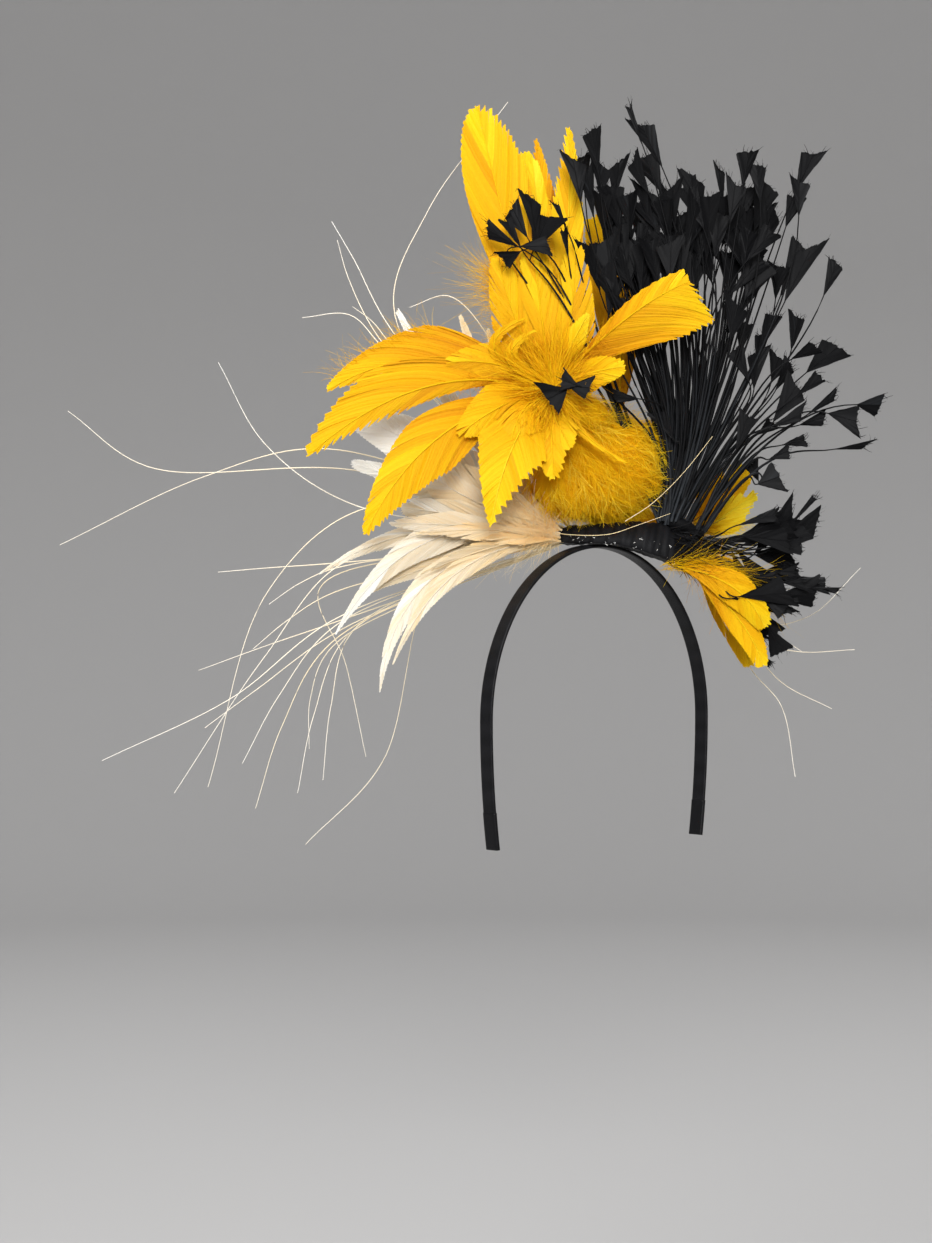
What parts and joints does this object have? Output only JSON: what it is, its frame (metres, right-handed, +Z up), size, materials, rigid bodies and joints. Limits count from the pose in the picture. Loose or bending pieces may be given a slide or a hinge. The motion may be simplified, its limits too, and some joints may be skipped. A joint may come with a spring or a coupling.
{
  "type": "feather fascinator headband",
  "caption": "Feather fascinator on a narrow black headband: golden flower of goose feathers over marabou down, pale swept feathers with thin whiskers, and a fan of trimmed black quills.",
  "frame": {"origin": "The underside of the headband where it crosses the crown of the head.", "axes": "+Z up, -Y the way the wearer faces, +X the wearer's left."},
  "size_m": [0.2849, 0.2907, 0.3624],
  "materials": {
    "black_satin": "black satin ribbon, soft sheen",
    "black_fabric": "matte black cloth wrap",
    "golden_feather": "dyed goose feather, golden yellow, soft barbs",
    "golden_down": "dyed marabou down, golden, fluffy",
    "cream_feather": "pale cream feather, soft barbs",
    "cream_filament": "stripped quill, pale cream, smooth",
    "black_feather": "stripped and trimmed feather, dyed black"
  },
  "bodies": {
    "root": {"headband": "black_satin", "end_wrap_left": "black_satin", "end_wrap_right": "black_satin", "base": "black_fabric", "down_puff": "golden_down", "far_puff": "golden_down", "petal_tall_front": "golden_feather", "petal_tall_second": "golden_feather", "petal_tall_back": "golden_feather", "petal_tall_right": "golden_feather", "petal_tall_inner": "golden_feather", "petal_left_upper": "golden_feather", "petal_left_droop": "golden_feather", "petal_left_pale": "golden_feather", "petal_low_left": "golden_feather", "petal_down": "golden_feather", "petal_down_small": "golden_feather", "petal_right_broad": "golden_feather", "petal_right_small": "golden_feather", "petal_right_spur": "golden_feather", "petal_far_right": "golden_feather", "petal_far_high": "golden_feather", "petal_far_back": "golden_feather", "petal_far_low": "golden_feather", "petal_far_side": "golden_feather", "petal_far_front": "golden_feather", "petal_far_rise": "golden_feather", "petal_back_upright": "golden_feather", "cream_feather_01": "cream_feather", "cream_feather_02": "cream_feather", "cream_feather_03": "cream_feather", "cream_feather_04": "cream_feather", "cream_feather_05": "cream_feather", "cream_feather_06": "cream_feather", "cream_feather_07": "cream_feather", "cream_feather_08": "cream_feather", "cream_feather_09": "cream_feather", "cream_feather_10": "cream_feather", "cream_feather_11": "cream_feather", "cream_feather_12": "cream_feather", "cream_feather_13": "cream_feather", "black_spray": "black_feather", "black_spray_rear": "black_feather", "whiskers_upper": "cream_filament", "whiskers_lower": "cream_filament", "whiskers_back": "cream_filament"}
  },
  "joints": []
}
